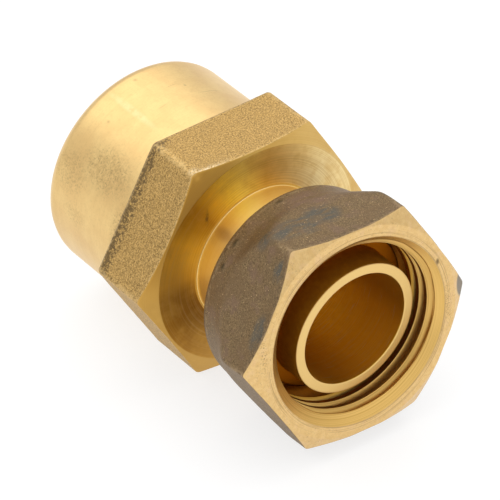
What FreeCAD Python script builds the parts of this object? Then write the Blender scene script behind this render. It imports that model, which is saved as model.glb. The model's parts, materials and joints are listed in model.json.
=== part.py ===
"""Brass pipe union: a threaded socket body, a pressed-in tailpiece and a captive loose union nut.

Millimetres. The pipe axis is X, pointing from the socket's open end to the spigot's tip, and +Z is up:
the fitting lies on one flat of the body's hexagon, with the nut drooping on its tailpiece. The pieces are
drawn with x = 0 at the socket's open end, then moved so that the origin is the centre of the collar's
sealing face.
"""

import FreeCAD
import Part
import math
import os

V = FreeCAD.Vector

# ISO 228 G1 (1 inch BSP parallel) internal thread
THREAD_PITCH = 2.309
THREAD_ROOT_R = 33.249 / 2
THREAD_CREST_R = 30.90 / 2
THREAD_FLANK_DEG = 27.5
THREAD_ROOT_FLAT = 0.25
THREAD_RELIEF_R = 17.0

# body: round socket, hexagon, seat for the tailpiece
SOCKET_R = 20.1
SOCKET_LEN = 21.9
SOCKET_EDGE_ROUND = 2.7
SOCKET_THREAD_LEN = 17.0
SOCKET_BOTTOM_X = 19.5
BODY_AF = 42.8
BODY_HEX_LEN = 12.7
BODY_CORNER_ROUND = 1.2
BODY_FACE_R = 20.9
BODY_CHAMFER_DEG = 20.0
SEAT_X = 24.0
SEAT_INTERFERENCE = 0.01
SEAT_LEAD_IN = 0.4

# tailpiece: neck, collar, spigot
BORE_R = 10.6
NECK_R = 12.95
COLLAR_R = 14.9
COLLAR_BACK_X = 50.7
COLLAR_LEN = 4.0
SEALING_FACE_X = COLLAR_BACK_X + COLLAR_LEN
COLLAR_EDGE = 0.3
SPIGOT_R = 12.4
SPIGOT_TIP_X = 61.2
SPIGOT_EDGE = 0.15

# union nut, in its own frame: mouth face at x = 0, back face at x = -NUT_LEN
NUT_AF = 38.8
NUT_LEN = 19.2
NUT_CORNER_ROUND = 0.8
NUT_FACE_R = 19.5
NUT_FRONT_CHAMFER_DEG = 29.4
NUT_BACK_R = 18.5
NUT_SHOULDER_R = 19.2
NUT_SHOULDER_LEN = 5.2
NUT_BACK_BEVEL_LEN = 11.2
NUT_THREAD_LEN = 8.0
NUT_WALL = 3.2
NUT_HOLE_R = 14.6
NUT_HOLE_EDGE = 0.4
MOUTH_R = 17.4

# the loose nut's pose: centre of its mouth face, and its axis
NUT_MOUTH = V(63.57, -0.88, 1.14)
NUT_PITCH_UP_DEG = 7.1
NUT_YAW_DEG = -3.5
NUT_SPIN_DEG = -0.3

BODY_HEX_END_X = SOCKET_LEN + BODY_HEX_LEN
CIRCUM = 1 / math.cos(math.radians(30))
X_AXIS = V(1, 0, 0)


def turned(profile):
    """Solid of revolution about X from (x, radius) corners."""
    points = [V(x, 0, r) for x, r in profile]
    face = Part.Face(Part.makePolygon(points + points[:1]))
    return face.revolve(V(0, 0, 0), X_AXIS, 360)


def hexagon(x0, x1, across_flats, corner_round):
    """Hexagonal bar along X with one flat facing up and one down."""
    r = across_flats / 2 * CIRCUM
    angles = [math.radians(60 * k) for k in range(6)]
    points = [V(x0, r * math.cos(a), r * math.sin(a)) for a in angles]
    bar = Part.Face(Part.makePolygon(points + points[:1])).extrude(V(x1 - x0, 0, 0))
    long_edges = [e for e in bar.Edges if abs(e.tangentAt(e.FirstParameter).x) > 0.99]
    return bar.makeFillet(corner_round, long_edges)


def cut_thread(shape, start_x, length):
    """Cuts the helical groove from start_x towards +X, half a turn at a time."""
    slope = math.tan(math.radians(THREAD_FLANK_DEG))
    inner_r = THREAD_CREST_R - 0.4
    root = THREAD_ROOT_FLAT / 2
    mouth = root + (THREAD_ROOT_R - inner_r) * slope
    corners = [(inner_r, -mouth), (THREAD_ROOT_R, -root), (THREAD_ROOT_R, root), (inner_r, mouth)]
    points = [V(r, 0, z) for r, z in corners]
    half_turn = Part.makeHelix(THREAD_PITCH, THREAD_PITCH / 2 * 1.02, THREAD_CREST_R)
    groove = Part.Wire(half_turn).makePipeShell([Part.makePolygon(points + points[:1])], True, True)
    groove.rotate(V(0, 0, 0), V(0, 1, 0), 90)
    for k in range(round(2 * length / THREAD_PITCH)):
        piece = groove.copy()
        piece.rotate(V(0, 0, 0), X_AXIS, 180 * k)
        piece.translate(V(start_x + k * THREAD_PITCH / 2, 0, 0))
        shape = shape.cut(piece)
    return shape


def make_body():
    socket = Part.makeCylinder(SOCKET_R, SOCKET_LEN + 1, V(0, 0, 0), X_AXIS)
    rim = [e for e in socket.Edges if abs(e.BoundBox.XMax) < 1e-6]
    socket = socket.makeFillet(SOCKET_EDGE_ROUND, rim)

    bar = hexagon(SOCKET_LEN, BODY_HEX_END_X, BODY_AF, BODY_CORNER_ROUND)
    reach = BODY_AF
    fall = (reach - BODY_FACE_R) * math.tan(math.radians(BODY_CHAMFER_DEG))
    envelope = turned(
        [
            (SOCKET_LEN - 20, 0),
            (SOCKET_LEN - 20, reach),
            (BODY_HEX_END_X - fall, reach),
            (BODY_HEX_END_X, BODY_FACE_R),
            (BODY_HEX_END_X, 0),
        ]
    )
    outside = socket.fuse(bar.common(envelope))

    seat_r = NECK_R - SEAT_INTERFERENCE
    inside = turned(
        [
            (-1, 0),
            (-1, MOUTH_R + 1),
            (MOUTH_R - THREAD_CREST_R, THREAD_CREST_R),
            (SOCKET_THREAD_LEN, THREAD_CREST_R),
            (SOCKET_THREAD_LEN, THREAD_RELIEF_R),
            (SOCKET_BOTTOM_X, THREAD_RELIEF_R),
            (SOCKET_BOTTOM_X, BORE_R),
            (SEAT_X, BORE_R),
            (SEAT_X, seat_r),
            (BODY_HEX_END_X - SEAT_LEAD_IN, seat_r),
            (BODY_HEX_END_X + 1, seat_r + SEAT_LEAD_IN + 1),
            (BODY_HEX_END_X + 1, 0),
        ]
    )
    return cut_thread(outside.cut(inside).removeSplitter(), -1.2, SOCKET_THREAD_LEN + 2.3)


def make_tailpiece():
    return turned(
        [
            (SEAT_X, BORE_R),
            (SEAT_X, NECK_R),
            (COLLAR_BACK_X, NECK_R),
            (COLLAR_BACK_X, COLLAR_R - COLLAR_EDGE),
            (COLLAR_BACK_X + COLLAR_EDGE, COLLAR_R),
            (SEALING_FACE_X - COLLAR_EDGE, COLLAR_R),
            (SEALING_FACE_X, COLLAR_R - COLLAR_EDGE),
            (SEALING_FACE_X, SPIGOT_R),
            (SPIGOT_TIP_X - SPIGOT_EDGE, SPIGOT_R),
            (SPIGOT_TIP_X, SPIGOT_R - SPIGOT_EDGE),
            (SPIGOT_TIP_X, BORE_R),
        ]
    )


def make_nut():
    bar = hexagon(-NUT_LEN, 0, NUT_AF, NUT_CORNER_ROUND)
    corner_r = NUT_AF / 2 * CIRCUM
    fall = (corner_r - NUT_FACE_R) * math.tan(math.radians(NUT_FRONT_CHAMFER_DEG))
    envelope = turned(
        [
            (-NUT_LEN, 0),
            (-NUT_LEN, NUT_BACK_R),
            (-NUT_LEN + NUT_SHOULDER_LEN, NUT_SHOULDER_R),
            (-NUT_LEN + NUT_BACK_BEVEL_LEN, corner_r),
            (-fall, corner_r),
            (0, NUT_FACE_R),
            (0, 0),
        ]
    )
    wall_x = -NUT_LEN + NUT_WALL
    inside = turned(
        [
            (1, 0),
            (1, MOUTH_R + 1),
            (THREAD_CREST_R - MOUTH_R, THREAD_CREST_R),
            (-NUT_THREAD_LEN, THREAD_CREST_R),
            (-NUT_THREAD_LEN, THREAD_RELIEF_R),
            (wall_x, THREAD_RELIEF_R),
            (wall_x, NUT_HOLE_R),
            (-NUT_LEN + NUT_HOLE_EDGE, NUT_HOLE_R),
            (-NUT_LEN - 1, NUT_HOLE_R + NUT_HOLE_EDGE + 1),
            (-NUT_LEN - 1, 0),
        ]
    )
    blank = bar.common(envelope).cut(inside).removeSplitter()
    nut = cut_thread(blank, -NUT_THREAD_LEN - 1.2, NUT_THREAD_LEN + 2.4)
    nut.rotate(V(0, 0, 0), X_AXIS, NUT_SPIN_DEG)
    nut.rotate(V(0, 0, 0), V(0, 1, 0), -NUT_PITCH_UP_DEG)
    nut.rotate(V(0, 0, 0), V(0, 0, 1), NUT_YAW_DEG)
    nut.translate(NUT_MOUTH)
    return nut


os.makedirs("parts", exist_ok=True)
for name, shape in (("body", make_body()), ("tailpiece", make_tailpiece()), ("union_nut", make_nut())):
    shape.translate(V(-SEALING_FACE_X, 0, 0))
    shape.exportStep(f"parts/{name}.step")
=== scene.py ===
"""Looks of the brass union fitting: worn forged and turned brass on a pale floor."""

import json
import math

import bpy
import numpy as np
from mathutils import Euler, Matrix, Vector, noise

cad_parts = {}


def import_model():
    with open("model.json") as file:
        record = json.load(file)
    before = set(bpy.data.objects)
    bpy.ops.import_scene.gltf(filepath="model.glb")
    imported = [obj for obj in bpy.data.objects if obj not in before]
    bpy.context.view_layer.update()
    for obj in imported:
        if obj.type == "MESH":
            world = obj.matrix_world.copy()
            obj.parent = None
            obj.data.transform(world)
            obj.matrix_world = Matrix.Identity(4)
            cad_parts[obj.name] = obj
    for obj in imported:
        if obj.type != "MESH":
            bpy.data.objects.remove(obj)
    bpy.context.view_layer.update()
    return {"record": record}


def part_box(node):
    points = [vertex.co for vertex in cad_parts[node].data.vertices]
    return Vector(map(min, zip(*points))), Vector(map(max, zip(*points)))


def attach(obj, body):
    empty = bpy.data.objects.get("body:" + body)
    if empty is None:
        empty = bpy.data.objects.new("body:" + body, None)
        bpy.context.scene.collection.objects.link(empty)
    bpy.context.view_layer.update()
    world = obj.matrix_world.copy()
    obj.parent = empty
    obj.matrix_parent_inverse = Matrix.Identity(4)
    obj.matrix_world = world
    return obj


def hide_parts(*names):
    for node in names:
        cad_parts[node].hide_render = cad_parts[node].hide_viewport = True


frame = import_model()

MM = 0.001

# Sizes in mm, the same as the CAD parts'
SHIFT_X = -54.7
PITCH, ROOT_R, CREST_R, FLANK_DEG, ROOT_FLAT = 2.309, 16.6245, 15.45, 27.5, 0.25
THREAD_LEAD = 1.2  # how far outside its stretch the thread's helix begins
RELIEF_R, MOUTH_R, BORE_R = 17.0, 17.4, 10.6
SOCKET_R, SOCKET_LEN, SOCKET_ROUND, SOCKET_THREAD, SOCKET_BOTTOM = 20.1, 21.9, 2.7, 17.0, 19.5
BODY_AF, BODY_FRONT, BODY_ROUND, BODY_FACE_R, BODY_CHAMFER_DEG = 42.8, 34.6, 1.2, 20.9, 20.0
SEAT_X, SEAT_R, SEAT_LEAD = 24.0, 12.94, 0.4
NECK_R, COLLAR_R, COLLAR_BACK, SEAL_X, SPIGOT_R, TIP_X = 12.95, 14.9, 50.7, 54.7, 12.4, 61.2
NUT_AF, NUT_LEN, NUT_ROUND, NUT_FACE_R, NUT_CHAMFER_DEG = 38.8, 19.2, 0.8, 19.5, 29.4
NUT_BACK_R, NUT_SHOULDER_R, NUT_SHOULDER, NUT_BEVEL = 18.5, 19.2, 5.2, 11.2
NUT_THREAD, NUT_WALL, NUT_HOLE_R = 8.0, 3.2, 14.6
NUT_SPIN, NUT_PITCH, NUT_YAW = -0.3, -7.1, -3.5

# A fillet under EDGE mm is a worn edge; the wear fades over WEAR_FADE mm
EDGE, WEAR_FADE = 0.5, 0.3
# Share of the shorter side that a fillet may take, and that the socket's big rim fillet may take
FILLET_SHARE, RIM_SHARE = 0.47, 0.94
# Width in mm over which the nut's turned back melts into its flats
MELT = 0.3
# Where the body's raw hexagon ends and its turned face begins, along X
FACE_BEHIND, FACE_FROM = -22.2, -21.2
# Height of a bump of 1, in metres
BUMP_HEIGHT = 0.00002

# Knocks: centre on the surface, width and depth in mm, the nut's measured from its mouth
BODY_DENTS = [((-21.2, -12.0, 21.0), 0.5, 0.25), ((-26.0, -16.0, 15.0), 0.6, 0.06)]
NUT_DENTS = [
    ((-17.2, -3.0, 18.9), 0.7, 0.12),
    ((-17.0, -12.4, 14.5), 0.8, 0.15),
    ((-16.7, -15.4, 11.2), 0.7, 0.12),
    ((-17.7, -19.0, 0.3), 0.5, 0.15),
]


# ---------------------------------------------------------------- geometry


def off_corner(phi):
    """Angle from the nearest corner of a hexagon with a flat on top."""
    return np.abs((phi + math.pi / 6) % (math.pi / 3) - math.pi / 6)


def hex_radius(phi, across_flats, corner_round):
    """Radius of a round-cornered hexagon with a flat on top, at each angle."""
    h = across_flats / 2
    off = off_corner(phi)
    centre = (h - corner_round) / math.cos(math.pi / 6)
    edge = math.pi / 6 - math.atan((h - corner_round) * math.tan(math.pi / 6) / h)
    across = np.maximum(corner_round**2 - (centre * np.sin(off)) ** 2, 0)
    arc = centre * np.cos(off) + np.sqrt(across)
    return np.where(off < edge, arc, h / np.cos(math.pi / 6 - off))


def hex_columns(corner_deg, on_corner, on_flat):
    """Angles round the axis, closest together on the six corners."""
    angles = []
    for corner in range(0, 360, 60):
        first, last, following = corner - corner_deg, corner + corner_deg, corner + 60 - corner_deg
        angles += list(np.linspace(first, last, on_corner, endpoint=False))
        angles += list(np.linspace(last, following, on_flat, endpoint=False))
    return np.radians(np.array(angles))


def outline(corners, phi):
    """Closed half-plane outline for every column, as rows of x and r.

    Each corner is (x, r, fillet, rows to the next corner, zone of that stretch).
    """
    xs = [np.broadcast_to(np.asarray(c[0], float), phi.shape) for c in corners]
    rs = [np.broadcast_to(np.asarray(c[1], float), phi.shape) for c in corners]
    n = len(corners)
    ends = []
    for i in range(n):
        here = np.stack([xs[i], rs[i]])
        back = np.stack([xs[i - 1], rs[i - 1]]) - here
        ahead = np.stack([xs[(i + 1) % n], rs[(i + 1) % n]]) - here
        lb, la = np.hypot(*back), np.hypot(*ahead)
        ub, ua = back / lb, ahead / la
        half = np.arccos(np.clip((ub * ua).sum(0), -0.9999, 0.9999)) / 2
        share = RIM_SHARE if corners[i][2] == SOCKET_ROUND else FILLET_SHARE
        cut = np.minimum(corners[i][2] / np.tan(half), share * np.minimum(lb, la))
        ends.append((here + ub * cut, here, here + ua * cut, np.sin(half)))

    rows, zones, wears = [], [], []
    for i in range(n):
        first, corner, last, weight = ends[i]
        sharp, sharp_next = corners[i][2] < EDGE, corners[(i + 1) % n][2] < EDGE
        arc = 3 if sharp else 7
        for u in np.linspace(0, 1, arc):
            a, b, c = (1 - u) ** 2, 2 * u * (1 - u) * weight, u * u
            rows.append((a * first + b * corner + c * last) / (a + b + c))
            zones.append(corners[i][4] if u > 0.5 else corners[i - 1][4])
            wears.append(1.0 if sharp else 0.0)
        nxt, steps = ends[(i + 1) % n][0], corners[i][3]
        length = np.hypot(*(nxt - last)).mean()
        for k in range(1, steps):
            t = k / steps
            t = 0.35 * (0.5 - 0.5 * math.cos(math.pi * t)) + 0.65 * t  # closer near both ends
            rows.append(last + (nxt - last) * t)
            zones.append(corners[i][4])
            near = min(t if sharp else 1.0, 1 - t if sharp_next else 1.0)
            wears.append(math.exp(-near * length / WEAR_FADE))
    return np.array(rows), zones, wears


def thread(x, phi, start_x):
    """Internal thread radius at each point."""
    slope = math.tan(math.radians(FLANK_DEG))
    at = (x - start_x) / PITCH - (phi + math.pi / 2) / (2 * math.pi)
    away = np.abs((at + 0.5) % 1 - 0.5) * PITCH
    return np.clip(ROOT_R - (away - ROOT_FLAT / 2) / slope, CREST_R, ROOT_R)


def wobble(points, scale, seed, octaves=3):
    """Smooth noise from about -1 to 1 at each point, scale in mm."""
    flat = points.reshape(-1, 3) / scale
    offset = Vector((seed * 7.3, seed * 3.1, seed * 5.7))
    values = [noise.fractal(Vector(p) + offset, 1.0, 2.0, octaves) for p in flat]
    return np.array(values).reshape(points.shape[:-1])


def grid_normals(p):
    """Outward normals of a grid of points whose fourth row is an outer one."""
    along = np.roll(p, -1, 0) - np.roll(p, 1, 0)
    around = np.roll(p, -1, 1) - np.roll(p, 1, 1)
    n = np.cross(around, along)
    n = n / np.maximum(np.linalg.norm(n, axis=-1, keepdims=True), 1e-12)
    return -n if np.sum(p[3] * n[3]) < 0 else n


def grid_piece(name, points, marks, material, turn=None, shift=(0, 0, 0)):
    """Closed ring-shaped mesh from a grid of points in mm, with named marks at each point.

    The points are turned and shifted into place; the attribute "place" keeps them as they were.
    """
    rows, cols = points.shape[:2]
    place = points.reshape(-1, 3)
    points = points @ np.array(turn).T + np.array(shift) if turn else points
    index = np.arange(rows * cols).reshape(rows, cols)
    down, right = np.roll(index, -1, 0), np.roll(index, -1, 1)
    faces = np.stack([index, down, np.roll(down, -1, 1), right], -1).reshape(-1, 4)
    mesh = bpy.data.meshes.new(name)
    mesh.from_pydata((points.reshape(-1, 3) * MM).tolist(), [], faces.tolist())
    mesh.update()
    if sum(f.center.dot(f.normal) * f.area for f in mesh.polygons) < 0:
        mesh.flip_normals()
    mesh.shade_smooth()
    for key, values in marks.items():
        attribute = mesh.attributes.new(key, "FLOAT", "POINT")
        values = np.broadcast_to(values, (rows, cols)).astype(np.float32)
        attribute.data.foreach_set("value", values.ravel())
    attribute = mesh.attributes.new("place", "FLOAT_VECTOR", "POINT")
    attribute.data.foreach_set("vector", place.astype(np.float32).ravel())
    piece = bpy.data.objects.new(name, mesh)
    bpy.context.scene.collection.objects.link(piece)
    mesh.materials.append(material)
    return piece


def to_points(rows, phi):
    """Grid of x, y, z from rows of x and r."""
    x, r = rows[:, 0], rows[:, 1]
    return np.stack([x, r * np.cos(phi), r * np.sin(phi)], -1)


def marks_of(zones, wears, shape):
    """Which points are raw skin, which are inside, and which lie on an edge."""
    skin = np.array([1.0 if z == "skin" else 0.0 for z in zones])[:, None]
    deep = np.array([1.0 if z == "inside" else 0.0 for z in zones])[:, None]
    wear = np.array(wears)[:, None]
    return [np.broadcast_to(v, shape).copy() for v in (skin, deep, wear)]


def knock(points, normals, dents):
    """Pushes the surface in round the centre of each dent."""
    for centre, width, depth in dents:
        d = np.linalg.norm(points - np.array(centre), axis=-1)
        points = points - normals * (depth * np.exp(-((d / width) ** 2)))[..., None]
    return points


def roughen(points, normals, skin, small, large, swell_depth):
    """Sinks the raw skin by fine and broad unevenness, each a scale in mm and a seed."""
    rough = 0.5 + 0.5 * wobble(points, *small)
    swell = 0.5 + 0.5 * wobble(points, *large, octaves=2)
    depth = skin * (0.025 * rough + swell_depth * swell)
    return points - normals * depth[..., None]


def cut_thread(rows, zones, phi, first, last, crest_start, cone_r):
    """Cuts the thread into the rows of its zone and returns the grooves' relative depth."""
    in_thread = np.array([z == "thread" for z in zones])[:, None]
    x, r = rows[:, 0], rows[:, 1]
    cut_r, cone_r = thread(x, phi, crest_start), np.maximum(cone_r, CREST_R)
    cutting = in_thread & (x > first) & (x < last)
    rows[:, 1] = np.where(cutting, np.maximum(cut_r, cone_r), r)
    return np.where(cutting, np.clip((cut_r - cone_r) / (ROOT_R - CREST_R), 0, 1), 0)


def corner_wear(phi, radius, width):
    """1 on a hexagon's long edges, falling off over width mm."""
    return np.exp(-((off_corner(phi) * radius / width) ** 2))


def body_piece(material):
    phi = hex_columns(1.42, 7, 44)
    hexa = hex_radius(phi, BODY_AF, BODY_ROUND)
    front = BODY_FRONT - (hexa - BODY_FACE_R) * math.tan(math.radians(BODY_CHAMFER_DEG))
    corners = [
        (0, MOUTH_R, 0.15, 7, "turned"),
        (0, SOCKET_R, SOCKET_ROUND, 52, "turned"),
        (SOCKET_LEN, SOCKET_R, 0.25, 5, "skin"),
        (SOCKET_LEN, hexa, 0.4, 34, "skin"),
        (front, hexa, 0.16, 7, "turned"),
        (BODY_FRONT, BODY_FACE_R, 0.12, 18, "turned"),
        (BODY_FRONT, SEAT_R + SEAT_LEAD, 0.05, 2, "turned"),
        (BODY_FRONT - SEAT_LEAD, SEAT_R, 0.02, 3, "inside"),
        (SEAT_X, SEAT_R, 0.02, 3, "inside"),
        (SEAT_X, BORE_R, 0.02, 6, "inside"),
        (SOCKET_BOTTOM, BORE_R, 0.1, 8, "inside"),
        (SOCKET_BOTTOM, RELIEF_R, 0.1, 6, "inside"),
        (SOCKET_THREAD, RELIEF_R, 0.02, 3, "inside"),
        (SOCKET_THREAD, CREST_R, 0.02, 122, "thread"),
        (MOUTH_R - CREST_R, CREST_R, 0.02, 15, "thread"),
    ]
    rows, zones, wears = outline(corners, phi)
    cone_r = MOUTH_R - rows[:, 0]
    groove = cut_thread(rows, zones, phi, 0.02, SOCKET_THREAD - 0.01, -THREAD_LEAD, cone_r)
    points = to_points(rows, phi)
    skin, deep, wear = marks_of(zones, wears, points.shape[:2])
    wear = np.maximum(wear, skin * corner_wear(phi, 24.0, 0.9))
    normals = grid_normals(points)
    points = roughen(points, normals, skin, (1.1, 1), (5.0, 2), 0.06)
    points[..., 0] += SHIFT_X
    points = knock(points, normals, BODY_DENTS)
    marks = {"skin": skin, "deep": deep, "wear": wear, "groove": groove}
    return grid_piece("body_shell", points, marks, material)


def tail_piece(material):
    phi = np.linspace(0, 2 * math.pi, 288, endpoint=False)
    corners = [
        (SEAT_X, BORE_R, 0.02, 3, "turned"),
        (SEAT_X, NECK_R, 0.02, 8, "turned"),
        (BODY_FRONT - SEAT_LEAD, NECK_R, 0.02, 3, "turned"),
        (BODY_FRONT + 0.01, SEAT_R + SEAT_LEAD + 0.03, 0.005, 3, "turned"),
        (BODY_FRONT + 0.03, NECK_R, 0.13, 56, "turned"),
        (COLLAR_BACK, NECK_R, 0.1, 6, "turned"),
        (COLLAR_BACK, COLLAR_R, 0.3, 10, "turned"),
        (SEAL_X, COLLAR_R, 0.3, 8, "turned"),
        (SEAL_X, SPIGOT_R, 0.12, 18, "turned"),
        (TIP_X, SPIGOT_R, 0.15, 6, "turned"),
        (TIP_X, BORE_R, 0.12, 90, "bore"),
    ]
    rows, zones, wears = outline(corners, phi)
    points = to_points(rows, phi)
    bore = np.array([1.0 if z == "bore" else 0.0 for z in zones])[:, None]
    wear = np.array(wears)[:, None]
    points[..., 0] += SHIFT_X
    return grid_piece("tail_shell", points, {"deep": bore, "wear": wear}, material)


def nut_piece(material):
    phi = hex_columns(1.05, 7, 50)
    hexa = hex_radius(phi, NUT_AF, NUT_ROUND)
    face_r = np.minimum(NUT_FACE_R, hexa - 0.15)
    corner_r = NUT_AF / 2 / math.cos(math.pi / 6)
    front = -(hexa - face_r) * math.tan(math.radians(NUT_CHAMFER_DEG))

    def turned_back(x):
        """Radius of the turned back, a gentle cone running softly into a steep one."""
        low = NUT_BACK_R + (x + NUT_LEN) * (NUT_SHOULDER_R - NUT_BACK_R) / NUT_SHOULDER
        steep = (corner_r - NUT_SHOULDER_R) / (NUT_BEVEL - NUT_SHOULDER)
        high = NUT_SHOULDER_R + (x + NUT_LEN - NUT_SHOULDER) * steep
        return MELT * np.logaddexp(low / MELT, high / MELT)

    wall, turned_from = -NUT_LEN + NUT_WALL, -NUT_LEN + 1.2
    corners = [
        (0, MOUTH_R, 0.08, 6, "turned"),
        (0, face_r, 0.1, 9, "turned"),
        (front, hexa, 0.14, 64, "skin"),
        (turned_from, turned_back(turned_from), 0.02, 3, "skin"),
        (-NUT_LEN, NUT_BACK_R, 0.7, 8, "skin"),
        (-NUT_LEN, NUT_HOLE_R, 0.4, 8, "inside"),
        (wall, NUT_HOLE_R, 0.1, 5, "inside"),
        (wall, RELIEF_R, 0.1, 12, "inside"),
        (-NUT_THREAD, RELIEF_R, 0.02, 3, "inside"),
        (-NUT_THREAD, CREST_R, 0.02, 104, "thread"),
        (CREST_R - MOUTH_R, CREST_R, 0.02, 16, "thread"),
    ]
    rows, zones, wears = outline(corners, phi)
    x, r = rows[:, 0], rows[:, 1]
    outer = np.array([z == "skin" for z in zones])[:, None]
    outer = outer & (x > turned_from - 0.05) & (x < front - 0.16)
    melted = -MELT * np.logaddexp(-hexa / MELT, -turned_back(x) / MELT)
    rows[:, 1] = np.where(outer, melted, r)
    crest_start = -NUT_THREAD - THREAD_LEAD
    groove = cut_thread(rows, zones, phi, -NUT_THREAD + 0.01, -0.02, crest_start, MOUTH_R + x)
    points = to_points(rows, phi)
    skin, deep, wear = marks_of(zones, wears, points.shape[:2])
    along = np.clip((points[..., 0] + NUT_LEN - NUT_BEVEL) / 5, 0, 1)
    wear = np.maximum(wear, skin * along * corner_wear(phi, 22.0, 0.7))
    normals = grid_normals(points)
    points = roughen(points, normals, skin, (1.3, 3), (6.0, 4), 0.10)
    points = knock(points, normals, NUT_DENTS)
    marks = {"skin": skin, "deep": deep, "wear": wear, "groove": groove}
    turn = Euler([math.radians(a) for a in (NUT_SPIN, NUT_PITCH, NUT_YAW)]).to_matrix()
    middle = frame["record"]["behaviour"]["joints"][0]["pos_m"]
    return grid_piece("nut_shell", points, marks, material, turn, [v / MM for v in middle])


# ---------------------------------------------------------------- materials


class Graph:
    """Shorthand for building one node material."""

    def __init__(self, name):
        self.material = bpy.data.materials.new(name)
        self.material.use_nodes = True
        self.tree = self.material.node_tree
        self.tree.nodes.clear()

    def add(self, kind, values=(), out=0, **settings):
        node = self.tree.nodes.new("ShaderNode" + kind)
        for key, value in settings.items():
            setattr(node, key, value)
        items = values.items() if isinstance(values, dict) else enumerate(values)
        for key, value in items:
            if value is None:
                continue
            if isinstance(value, bpy.types.NodeSocket):
                self.tree.links.new(value, node.inputs[key])
            else:
                node.inputs[key].default_value = value
        return node.outputs[out] if node.outputs else node

    def math(self, operation, a, b=None):
        return self.add("Math", (a, b), operation=operation)

    def mul(self, a, b):
        return self.math("MULTIPLY", a, b)

    def plus(self, a, b):
        return self.math("ADD", a, b)

    def most(self, a, b):
        return self.math("MAXIMUM", a, b)

    def off(self, value, middle):
        """Distance of value from the middle."""
        return self.math("ABSOLUTE", self.math("SUBTRACT", value, middle))

    def step(self, value, low, high):
        """Smooth ramp of value from low..high to 0..1."""
        return self.add("MapRange", (value, low, high), interpolation_type="SMOOTHSTEP", clamp=True)

    def mix(self, share, a, b):
        node = self.tree.nodes.new("ShaderNodeMix")
        node.data_type = "RGBA"
        for socket, value in ((node.inputs[0], share), (node.inputs[6], a), (node.inputs[7], b)):
            if isinstance(value, bpy.types.NodeSocket):
                self.tree.links.new(value, socket)
            elif isinstance(value, (int, float)):
                socket.default_value = value
            else:
                socket.default_value = (*value, 1.0)
        return node.outputs[2]

    def paint(self, colour, mask, share, other):
        """Colour painted over with another where the mask is 1, share of it at most."""
        return self.mix(self.mul(mask, share), colour, other)

    def blend(self, share, a, b):
        return self.add("Mix", {0: share, 2: a, 3: b}, data_type="FLOAT")

    def noise(self, vector, scale, detail=3.0, rough=0.55, distort=0.0):
        values = {"Vector": vector, "Scale": scale, "Detail": detail, "Roughness": rough}
        return self.add("TexNoise", {**values, "Distortion": distort})

    def patches(self, vector, scale, detail, rough, low, high, distort=0.0):
        """Noise cut to patches of 1 on 0, soft between low and high."""
        return self.step(self.noise(vector, scale, detail, rough, distort), low, high)

    def mark(self, name):
        return self.add("Attribute", out=2, attribute_name=name)

    def start(self):
        """The piece's own coordinates in mm, the axial distance, radius and angle about X."""
        mm = self.add("Attribute", out=1, attribute_name="place")
        split = self.tree.nodes.new("ShaderNodeSeparateXYZ")
        self.tree.links.new(mm, split.inputs[0])
        x, y, z = split.outputs
        r = self.math("SQRT", self.plus(self.mul(y, y), self.mul(z, z)))
        phi = self.math("ARCTAN2", z, y)
        return mm, x, r, phi

    def blob(self, mm, centre, size, edge=0.3):
        """1 inside an ellipsoid, falling to 0 at its surface."""
        away = self.add("VectorMath", (mm, centre), operation="SUBTRACT")
        away = self.add("VectorMath", (away, size), operation="DIVIDE")
        length = self.add("VectorMath", {0: away}, out=1, operation="LENGTH")
        return self.step(length, 1.0, edge)

    def ramp(self, value, stops):
        """Colour at value, through (place, colour) stops from 0 to 1."""
        node = self.tree.nodes.new("ShaderNodeValToRGB")
        self.tree.links.new(value, node.inputs[0])
        points = node.color_ramp.elements
        for place, colour in stops[1:-1]:
            points.new(place).color = (*colour, 1.0)
        points[0].color, points[-1].color = (*stops[0][1], 1.0), (*stops[-1][1], 1.0)
        return node.outputs[0]

    def turns(self, phi):
        """Angle about X in turns, from 0 to 1."""
        return self.math("FRACT", self.math("DIVIDE", phi, 2 * math.pi))

    def vector(self, a, b, c):
        return self.add("CombineXYZ", (a, b, c))

    def lathe(self, mm, x, r, density, drift=0.02):
        """Fine lines round the axis, as a lathe tool leaves them."""
        sway = self.add("VectorMath", {0: mm, 3: drift}, operation="SCALE")
        lines = self.vector(self.mul(x, density), self.mul(r, density), 0.0)
        return self.noise(self.add("VectorMath", (lines, sway), operation="ADD"), 1.0, 2.0, 0.6)

    def finish(self, colour, roughness, bump, metallic=1.0, aniso=0.0, glow=0.0):
        normal = self.add("Bump", {"Strength": 1.0, "Distance": BUMP_HEIGHT, "Height": bump})
        values = {
            "Base Color": colour,
            "Roughness": roughness,
            "Metallic": metallic,
            "Normal": normal,
            "Anisotropic": aniso,
            "Emission Color": (1.0, 1.0, 1.0, 1.0),
            "Emission Strength": glow,
        }
        if aniso:
            values["Tangent"] = self.add("Tangent", direction_type="RADIAL", axis="X")
        shader = self.add("BsdfPrincipled", values)
        self.add("OutputMaterial", {"Surface": shader})
        return self.material


# Colours that several places share
PALE = (0.80, 0.57, 0.245)
GOLD_DARK = (0.52, 0.27, 0.045)
BROWN = (0.56, 0.29, 0.03)
DIRT = (0.12, 0.08, 0.04)

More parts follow.
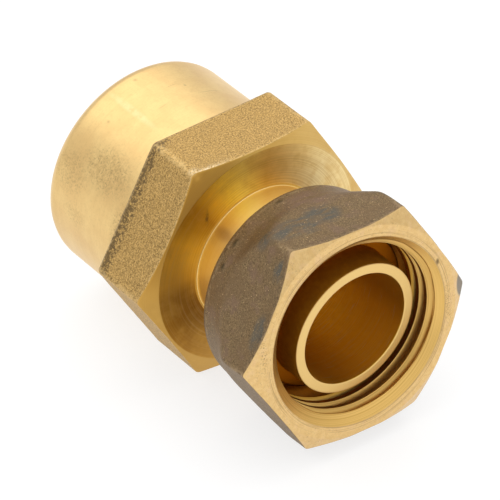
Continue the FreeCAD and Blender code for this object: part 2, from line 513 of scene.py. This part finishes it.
# The turned face's painted sheen round the axis, in turns from +Y over +Z: highlight and shade
# painted into its colour
PAINTED_SHEEN = [
    (0.0, (0.94, 0.72, 0.34)),
    (0.11, (0.98, 0.80, 0.42)),
    (0.17, (0.96, 0.70, 0.28)),
    (0.23, (0.86, 0.53, 0.13)),
    (0.275, (1.0, 0.76, 0.19)),
    (0.31, (1.0, 0.70, 0.10)),
    (0.335, (0.92, 0.54, 0.05)),
    (0.365, (0.56, 0.27, 0.015)),
    (0.39, (0.60, 0.31, 0.02)),
    (0.42, (0.86, 0.49, 0.05)),
    (0.455, (0.84, 0.48, 0.06)),
    (0.485, (0.74, 0.40, 0.05)),
    (0.51, (0.46, 0.22, 0.02)),
    (0.56, (0.38, 0.165, 0.01)),
    (0.61, (0.42, 0.20, 0.03)),
    (0.70, (0.62, 0.36, 0.09)),
    (0.85, (0.78, 0.50, 0.15)),
    (1.0, (0.94, 0.72, 0.34)),
]

# Faint marks on the socket: centre and half sizes in mm
SCRATCHES = [
    ((-42.0, -3.4, 19.8), (0.12, 2.2, 0.6)),
    ((-41.5, 6.3, 19.0), (0.12, 4.0, 2.5)),
    ((-45.8, 1.0, 20.0), (0.10, 2.0, 0.5)),
    ((-44.7, 3.3, 19.8), (0.45, 0.35, 0.4)),
    ((-51.1, -2.6, 19.9), (0.6, 0.6, 0.4)),
    ((-47.5, -11.0, 16.8), (0.5, 0.4, 0.5)),
]


def body_material():
    g = Graph("body_brass")
    mm, x, r, phi = g.start()
    skin, wear, deep, groove = [g.mark(k) for k in ("skin", "wear", "deep", "groove")]
    blotch = g.noise(mm, 0.16, 4.0, 0.6)
    grit = g.noise(mm, 3.6, 2.0, 0.8)
    fine = g.noise(mm, 9.0, 1.0, 0.5)
    coarse = g.noise(mm, 1.3, 4.0, 0.65)
    lines, rings = g.lathe(mm, x, r, 9.0), g.lathe(mm, x, r, 2.6)
    arcs = g.lathe(mm, x, r, 5.0)

    # socket: pale satin brass, soft darker clouds, fine specks
    socket = g.mix(g.step(blotch, 0.3, 0.7), PALE, (0.74, 0.50, 0.21))
    socket = g.paint(socket, g.patches(mm, 0.55, 4.0, 0.65, 0.46, 0.66), 0.35, (0.70, 0.475, 0.20))
    socket = g.paint(socket, g.step(lines, 0.45, 0.7), 0.12, (0.58, 0.37, 0.14))
    cloud = g.most(g.blob(mm, (-41, -16, 12.4), (8, 4, 6)), g.blob(mm, (-33.6, -19, 5), (3, 3, 10)))
    cloud = g.most(cloud, g.mul(g.blob(mm, (-49, -18.2, 8.6), (6, 5, 5)), 0.7))
    cloud = g.most(cloud, g.mul(g.blob(mm, (-45.7, -20, 2.1), (4, 3, 3)), 0.5))
    socket = g.paint(socket, g.mul(cloud, g.step(coarse, 0.3, 0.6)), 0.5, (0.50, 0.33, 0.13))
    specks = g.mul(g.patches(mm, 2.6, 3.0, 0.75, 0.50, 0.66), g.plus(g.mul(cloud, 0.9), 0.2))
    socket = g.paint(socket, specks, 0.6, (0.36, 0.25, 0.11))
    streak = g.blob(mm, (-45.5, -7.35, 18.75), (9, 0.9, 1.2))
    streak = g.mul(streak, g.patches(mm, 0.8, 3.0, 0.6, 0.3, 0.55))
    socket = g.paint(socket, streak, 0.3, (0.90, 0.71, 0.40))
    for centre, size in SCRATCHES:
        socket = g.paint(socket, g.blob(mm, centre, size, 0.0), 0.55, (0.38, 0.27, 0.12))

    # hexagon's face: deep gold with a painted sheen round the axis and fine turning arcs, its bevel
    # plainer and painted lighter or darker by side
    angle = g.turns(phi)
    # the face's colour is a painted sheen, lighter and darker by angle round the axis
    face = g.ramp(angle, PAINTED_SHEEN)
    face = g.paint(face, g.patches(mm, 0.35, 3.0, 0.6, 0.4, 0.7), 0.4, (0.70, 0.40, 0.075))
    face = g.paint(face, g.step(arcs, 0.40, 0.66), 0.3, GOLD_DARK)
    face = g.paint(face, g.step(rings, 0.52, 0.7), 0.15, (0.90, 0.66, 0.28))
    # the bevel painted darker on one side and lighter on the other: painted shade and light
    shaded_bevel_side = g.mul(g.step(angle, 0.24, 0.30), g.step(angle, 0.52, 0.46))
    rim = g.mul(g.step(r, 20.7, 21.0), g.blend(shaded_bevel_side, 0.65, 0.88))
    face = g.mix(rim, face, g.mix(shaded_bevel_side, (0.66, 0.42, 0.12), (0.56, 0.315, 0.07)))
    # a dark streak on the face near the neck, painted as a dark reflection
    mark = g.blob(mm, (-20.1, -10.6, 12.3), (1.0, 0.6, 2.4), 0.1)
    face = g.mix(g.mul(mark, g.step(coarse, 0.35, 0.6)), face, (0.30, 0.16, 0.03))
    on_face = g.step(x, FACE_BEHIND, FACE_FROM)
    turned = g.mix(on_face, socket, face)

    # blasted flats: bright and dark grains, dirt along the back edge
    flats = g.mix(g.step(grit, 0.36, 0.64), (0.23, 0.14, 0.045), (0.66, 0.43, 0.155))
    flats = g.paint(flats, g.step(coarse, 0.42, 0.62), 0.4, (0.48, 0.30, 0.095))
    flats = g.paint(flats, g.step(fine, 0.55, 0.8), 0.6, (0.84, 0.60, 0.26))
    back = g.mul(g.step(x, -28.5, -32.6), g.step(phi, 1.9, 2.1))
    dirt = g.step(g.plus(g.noise(mm, 1.9, 4.0, 0.75), g.mul(back, 0.2)), 0.60, 0.66)
    dirt = g.mul(dirt, g.step(back, 0.05, 0.4))
    loose = g.mul(g.patches(mm, 2.2, 3.0, 0.7, 0.57, 0.65), g.step(blotch, 0.42, 0.58))
    front = g.mul(g.step(x, -23.5, -22.0), g.step(phi, 1.6, 1.9))
    loose = g.most(g.mul(loose, 0.5), g.mul(front, specks))
    flats = g.paint(flats, g.most(dirt, loose), 0.8, DIRT)
    # a painted glint: speckled highlight on the worn front crease of the top flat
    glint = g.blob(mm, (-22.0, -8.0, 21.3), (1.6, 6.0, 2.0))
    glint = g.mul(glint, g.patches(mm, 3.0, 2.0, 0.7, 0.42, 0.56))
    flats = g.paint(flats, g.mul(glint, wear), 0.9, (1.0, 0.90, 0.68))
    worn = g.mul(g.step(wear, 0.25, 0.9), g.step(coarse, 0.35, 0.65))
    flats = g.paint(flats, worn, 0.45, (0.84, 0.61, 0.28))

    colour = g.mix(skin, turned, flats)
    colour = g.paint(colour, deep, 0.5, BROWN)
    # thread grooves painted darker by their depth: painted shade
    colour = g.paint(colour, groove, 0.6, (0.34, 0.20, 0.07))
    satin = g.plus(g.plus(0.28, g.mul(on_face, 0.18)), g.mul(lines, 0.14))
    roughness = g.blend(skin, satin, g.plus(0.42, g.mul(grit, 0.2)))
    soft = g.plus(1.0, g.mul(wear, -0.4))
    bump = g.plus(g.mul(lines, 0.25), g.mul(arcs, 0.2))
    bump = g.blend(skin, bump, g.mul(soft, g.plus(g.mul(grit, 1.6), g.mul(coarse, 1.5))))
    return g.finish(colour, roughness, bump, aniso=0.55)


# Painted shade in the bore round the axis, how much darker it is, in turns from +Y over +Z
PAINTED_SHADE = [
    (0.0, (0.8,) * 3),
    (0.25, (0.6,) * 3),
    (0.62, (0.5,) * 3),
    (0.70, (0.65,) * 3),
    (0.76, (0.2,) * 3),
    (0.80, (0.0,) * 3),
    (0.88, (0.0,) * 3),
    (0.94, (0.1,) * 3),
    (1.0, (0.8,) * 3),
]


def tail_material():
    g = Graph("tail_brass")
    mm, x, r, phi = g.start()
    angle = g.turns(phi)
    deep = g.mark("deep")
    lines, broad = g.lathe(mm, x, r, 8.0), g.lathe(mm, x, r, 2.2)
    scuffs = g.noise(mm, 0.9, 4.0, 0.7)

    # neck and collar: pale gold with a painted sheen on one side, and a painted highlight line at
    # the neck's root
    colour = g.mix(g.patches(mm, 0.22, 4.0, 0.6, 0.3, 0.7), (0.97, 0.82, 0.43), (0.94, 0.76, 0.35))
    # the side in view keeps the pale gold, a painted sheen; the rest is painted plainer brass
    sheen_side = g.mul(g.step(angle, 0.17, 0.25), g.step(angle, 0.60, 0.52))
    colour = g.mix(sheen_side, (0.84, 0.61, 0.27), colour)
    colour = g.paint(colour, g.step(lines, 0.5, 0.8), 0.25, (0.72, 0.47, 0.17))
    # a painted highlight along the fillet at the neck's root
    root_highlight = g.step(g.off(x, -19.95), 0.16, 0.05)
    colour = g.mix(root_highlight, colour, (0.93, 0.70, 0.30))
    seat_rim = g.mul(g.step(x, -18.0, -19.0), g.step(r, 13.0, 13.06))
    colour = g.mix(seat_rim, colour, (0.88, 0.55, 0.12))
    tan = g.blob(mm, (-17.6, -8.9, 9.4), (3.0, 1.6, 1.6), 0.2)
    colour = g.paint(colour, tan, 0.6, (0.62, 0.46, 0.22))

    # spigot: brown outside, pale on its end, the sealing face at its foot darker
    tip = g.step(x, -5.0, -3.8)
    spigot = g.mix(g.step(scuffs, 0.35, 0.7), BROWN, (0.64, 0.35, 0.035))
    spigot = g.mix(g.step(x, 6.2, 6.4), spigot, (0.84, 0.60, 0.24))
    spigot = g.mix(g.step(x, 0.3, 0.1), spigot, (0.46, 0.15, 0.004))
    colour = g.mix(tip, colour, spigot)

    # bore: deep gold, painted brighter towards the tip and darker deeper in as painted light and
    # shade, with lathe lines and scratches
    inside = g.mix(g.step(scuffs, 0.35, 0.68), (0.86, 0.475, 0.012), (0.95, 0.56, 0.02))
    # painted light towards the open tip
    inside = g.paint(inside, g.step(x, -14.0, 4.0), 0.7, (0.97, 0.64, 0.07))
    inside = g.paint(inside, g.step(lines, 0.46, 0.62), 0.45, (0.97, 0.72, 0.22))
    # painted shade deeper in the bore
    inside = g.mix(g.step(x, -12.0, -40.0), inside, (0.55, 0.30, 0.03))
    # scratches painted pale, partly a painted highlight
    scratch_highlight = g.noise(g.vector(g.mul(x, 5.0), g.mul(phi, 2.2), 0.0), 1.0, 2.0, 0.5)
    inside = g.paint(inside, g.step(scratch_highlight, 0.62, 0.70), 0.6, (0.92, 0.75, 0.42))
    # painted shade round the bore's axis
    inside = g.paint(inside, g.ramp(angle, PAINTED_SHADE), 0.4, (0.20, 0.075, 0.0))
    colour = g.mix(deep, colour, inside)

    roughness = g.plus(g.blend(deep, g.blend(tip, 0.34, 0.48), 0.36), g.mul(lines, 0.1))
    bump = g.plus(g.mul(lines, g.plus(0.15, g.mul(deep, 0.5))), g.mul(g.mul(broad, deep), 0.4))
    return g.finish(colour, roughness, bump, aniso=0.4)


# Where the nut's oxide is thickest: centre and half sizes in mm
THICK = [
    ((-7.2, -5.8, 19.4), (4.0, 7.5, 3.0)),
    ((-8.0, -0.8, 19.4), (4.0, 4.5, 3.0)),
    ((-9.0, -11.5, 18.6), (2.0, 2.5, 3.0)),
    ((-2.6, -13.2, 15.9), (1.8, 2.0, 3.0)),
    ((-1.8, -18.6, 6.6), (2.0, 3.0, 5.5)),
]


def nut_material():
    g = Graph("nut_brass")
    mm, x, r, phi = g.start()
    skin, wear, deep, groove = [g.mark(k) for k in ("skin", "wear", "deep", "groove")]
    streak = g.add("VectorMath", (mm, (1.0, 0.35, 0.35)), operation="MULTIPLY")
    cloud = g.noise(mm, 0.2, 5.0, 0.62)
    coarse = g.noise(mm, 1.2, 4.0, 0.65)
    grit = g.noise(mm, 4.0, 3.0, 0.75)
    lines = g.lathe(mm, x, r, 8.0)

    # forging skin: brown oxide, grey-green where it is thickest, light flecks
    dark = g.mix(g.step(grit, 0.34, 0.66), (0.10, 0.063, 0.026), (0.28, 0.18, 0.082))
    dark = g.paint(dark, g.step(cloud, 0.40, 0.62), 0.5, (0.18, 0.108, 0.048))
    violet = g.blob(mm, (-14, 2, 19.0), (5, 9, 4))
    violet = g.mul(violet, g.patches(streak, 0.5, 3.0, 0.6, 0.35, 0.6))
    red = g.mul(g.patches(mm, 0.3, 3.0, 0.6, 0.52, 0.70), 0.5)
    dark = g.mix(g.most(g.mul(violet, 0.8), red), dark, (0.215, 0.130, 0.088))
    thick = 0.05
    for centre, size in THICK:
        thick = g.most(thick, g.blob(mm, centre, size, 0.4))
    thick = g.mul(thick, g.patches(streak, 0.7, 4.0, 0.62, 0.36, 0.60, 0.5))
    dark = g.mix(thick, dark, (0.108, 0.096, 0.073))
    flecks = g.patches(mm, 4.5, 2.0, 0.6, 0.60, 0.70)
    dark = g.paint(dark, flecks, 0.55, (0.46, 0.35, 0.16))
    flecks = g.patches(mm, 2.6, 2.0, 0.6, 0.67, 0.74)
    dark = g.paint(dark, flecks, 0.8, (0.62, 0.42, 0.22))
    for centre, width, _ in NUT_DENTS[:3]:
        pit = g.blob(mm, centre, (width, width * 2, width * 1.5), 0.0)
        dark = g.paint(dark, pit, 0.85, (0.05, 0.038, 0.016))
    edge = g.mul(g.step(x, -2.0, -0.6), g.patches(mm, 1.7, 3.0, 0.7, 0.50, 0.60))
    dark = g.paint(dark, edge, 0.6, (0.075, 0.048, 0.026))
    rim = g.mul(g.step(wear, 0.1, 0.9), g.step(coarse, 0.40, 0.60))
    dark = g.paint(dark, rim, 0.55, (0.42, 0.30, 0.16))

    # machined front: pale with fine grit, small pits, one corner the cutter missed
    cut = g.mix(g.step(coarse, 0.35, 0.65), (0.80, 0.555, 0.245), (0.74, 0.49, 0.20))
    cut = g.paint(cut, g.step(grit, 0.5, 0.7), 0.3, (0.60, 0.41, 0.19))
    cut = g.paint(cut, g.patches(mm, 0.5, 3.0, 0.6, 0.5, 0.7), 0.3, (0.80, 0.54, 0.33))
    spots = g.mul(g.patches(mm, 2.6, 3.0, 0.7, 0.58, 0.66), g.step(cloud, 0.35, 0.65))
    cut = g.paint(cut, spots, 0.6, (0.34, 0.22, 0.10))
    cut = g.mix(g.blob(mm, (-1.4, 22.0, 0.4), (3.0, 2.2, 2.9), 0.75), cut, (0.24, 0.20, 0.15))
    cut = g.paint(cut, g.blob(mm, (0, 16.3, 7.3), (0.6, 0.5, 0.9), 0.2), 0.8, DIRT)

    # its worn edges and the arcs rubbed into it round the mouth
    worn = g.most(g.blob(mm, (0, 17.9, -1.5), (1, 1.0, 6)), g.blob(mm, (0, -18.9, 3), (1, 0.8, 6)))
    worn = g.mul(g.plus(worn, 0.1), g.patches(mm, 3.4, 3.0, 0.75, 0.53, 0.60))
    cut = g.paint(cut, worn, 0.6, (0.20, 0.12, 0.05))
    arc = g.noise(g.vector(g.mul(r, 5.0), g.mul(phi, 1.2), 0.0), 1.0, 2.0, 0.5)
    arc = g.mul(g.step(arc, 0.50, 0.60), g.step(r, 18.9, 18.1))
    cut = g.paint(cut, arc, 0.55, (0.36, 0.23, 0.10))

    # countersink and thread
    cone = g.step(r, 17.45, 17.3)
    gold = g.mix(g.step(lines, 0.42, 0.66), (0.78, 0.50, 0.155), (0.62, 0.38, 0.10))
    bright = g.mix(cone, cut, gold)
    lip = g.mul(g.step(g.off(r, 17.42), 0.14, 0.04), g.step(cloud, 0.3, 0.5))
    bright = g.paint(bright, lip, 0.4, (0.40, 0.25, 0.10))
    inner = g.mix(g.step(coarse, 0.3, 0.7), (0.50, 0.22, 0.015), (0.60, 0.28, 0.02))
    # darker deeper inside the nut: painted shade
    bright = g.paint(bright, g.step(x, -5.0, -7.0), 0.9, (0.62, 0.34, 0.035))
    bright = g.paint(bright, deep, 0.95, inner)
    # grooves painted browner and a dark line just off each crest: painted shade in the thread
    bright = g.paint(bright, g.step(groove, 0.1, 0.6), 0.9, (0.64, 0.39, 0.11))
    flank = g.mul(g.step(groove, 0.02, 0.10), g.step(groove, 0.40, 0.15))
    bright = g.paint(bright, flank, 0.4, (0.34, 0.19, 0.05))

    colour = g.mix(skin, bright, dark)
    metallic = g.blend(skin, 1.0, 0.75)
    roughness = g.blend(skin, g.plus(0.30, g.mul(lines, 0.12)), g.plus(0.40, g.mul(coarse, 0.25)))
    roughness = g.plus(roughness, g.mul(deep, 0.1))
    bump = g.plus(g.mul(lines, 0.15), g.mul(grit, 0.35))
    bump = g.blend(skin, bump, g.plus(g.mul(grit, 1.3), g.mul(coarse, 2.0)))
    return g.finish(colour, roughness, bump, metallic=metallic, aniso=0.3)


# ---------------------------------------------------------------- studio

# Camera: place in m, directions of the picture's right and of the view, lens in mm
EYE = (0.38303, -0.30751, 0.38926)
RIGHT, AHEAD = (0.6089, 0.7932, -0.0073), (-0.6322, 0.4797, -0.6085)
LENS, SENSOR = 269.5, 36.0
# Gap in m between the body's underside and the floor
FLOOR_GAP = 0.00002


def floor():
    """Pale floor just under the body, glowing faintly."""
    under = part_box("body")[0].z - FLOOR_GAP
    bpy.ops.mesh.primitive_plane_add(size=4.0, location=(0, 0, under))
    plane = bpy.context.object
    plane.name = "floor"
    g = Graph("floor_paint")
    raw = g.add("TexCoord", out=3)
    tone = g.noise(raw, 3.0, 2.0, 0.5)
    colour = g.mix(tone, (0.26, 0.26, 0.26), (0.28, 0.28, 0.28))
    plane.data.materials.append(g.finish(colour, 0.8, tone, metallic=0.0, glow=0.74))


def world():
    """Soft pale surroundings, a little darker near the horizon."""
    surroundings = bpy.data.worlds.new("studio")
    surroundings.use_nodes = True
    bpy.context.scene.world = surroundings
    tree = surroundings.node_tree
    tree.nodes.clear()
    place = tree.nodes.new("ShaderNodeTexCoord")
    split = tree.nodes.new("ShaderNodeSeparateXYZ")
    ramp = tree.nodes.new("ShaderNodeValToRGB")
    back = tree.nodes.new("ShaderNodeBackground")
    out = tree.nodes.new("ShaderNodeOutputWorld")
    tree.links.new(place.outputs["Generated"], split.inputs[0])
    tree.links.new(split.outputs[2], ramp.inputs[0])
    tree.links.new(ramp.outputs[0], back.inputs[0])
    tree.links.new(back.outputs[0], out.inputs[0])
    for stop, height, level in zip(ramp.color_ramp.elements, (0.05, 0.7), (0.80, 1.0)):
        stop.position = height
        stop.color = (level, level, level, 1)
    back.inputs[1].default_value = 1.0


def soft_light(name, place, size, power):
    """Rectangular lamp aimed at the origin."""
    data = bpy.data.lights.new(name, "AREA")
    data.shape = "RECTANGLE"
    data.size, data.size_y = size
    data.energy = power
    lamp = bpy.data.objects.new(name, data)
    bpy.context.scene.collection.objects.link(lamp)
    lamp.location = place
    lamp.rotation_euler = (-Vector(place)).to_track_quat("-Z", "Y").to_euler()


def camera():
    """The camera that sees the part from its spigot end, from above and one side."""
    data = bpy.data.cameras.new("camera")
    data.sensor_width = SENSOR
    data.lens = LENS
    data.clip_start, data.clip_end = 0.01, 20.0
    eye = bpy.data.objects.new("camera", data)
    bpy.context.scene.collection.objects.link(eye)
    eye.location = EYE
    right, ahead = Vector(RIGHT).normalized(), Vector(AHEAD).normalized()
    up = right.cross(ahead)
    turn = [[right[i], up[i], -ahead[i]] for i in range(3)]
    eye.rotation_mode = "QUATERNION"
    eye.rotation_quaternion = Matrix(turn).to_quaternion()
    bpy.context.scene.camera = eye


bpy.context.scene.view_settings.view_transform = "Standard"
floor()
world()
soft_light("top", (-0.35, 0.1, 0.8), (1.5, 1.2), 4.0)
camera()

shell = body_piece(body_material())
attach(shell, "fitting")
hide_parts("body")

tail = tail_piece(tail_material())
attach(tail, "fitting")
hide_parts("tailpiece")

nut = nut_piece(nut_material())
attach(nut, "nut")
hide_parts("union_nut")
